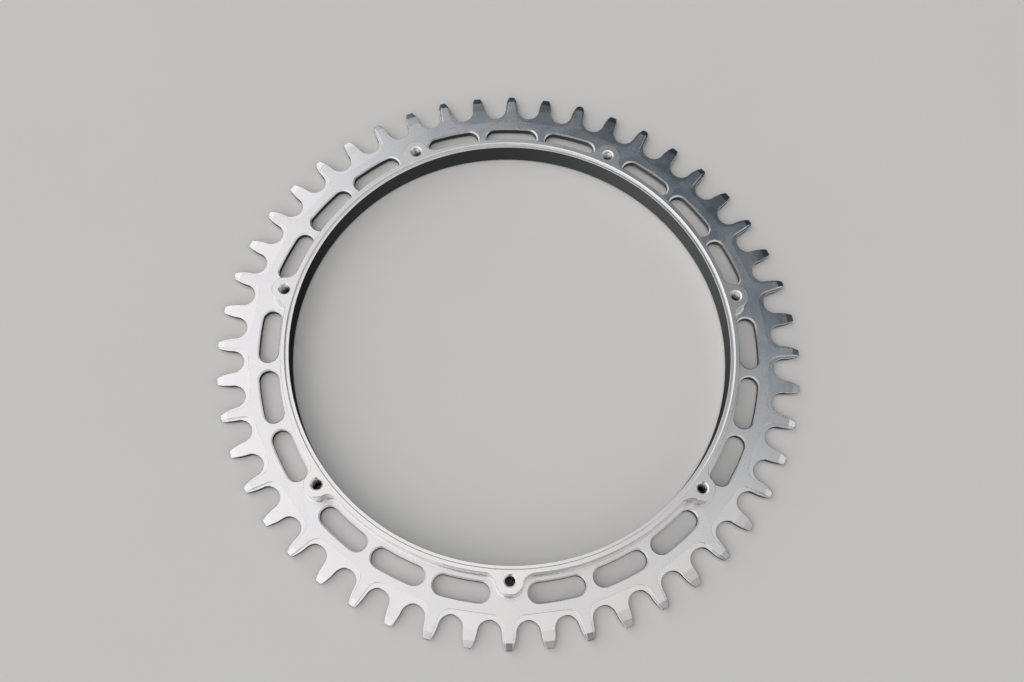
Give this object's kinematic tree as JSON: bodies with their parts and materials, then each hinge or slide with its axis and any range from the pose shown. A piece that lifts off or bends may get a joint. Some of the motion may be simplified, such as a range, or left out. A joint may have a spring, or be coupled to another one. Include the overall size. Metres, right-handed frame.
{
  "type": "bicycle chainring",
  "caption": "Toothed ring of machined aluminium with alternating wide and narrow teeth, curved slots and a raised flange with bolt lugs; drives a bicycle chain.",
  "frame": {"origin": "on the ring's axis, at its flat back", "axes": "+Z along the ring's axis, towards the raised flange; -Y through one bolt lug and one wide tooth"},
  "size_m": [0.205, 0.205, 0.0108],
  "materials": {
    "aluminium": "satin, as machined"
  },
  "bodies": {
    "root": {"chainring": "aluminium"}
  },
  "joints": []
}
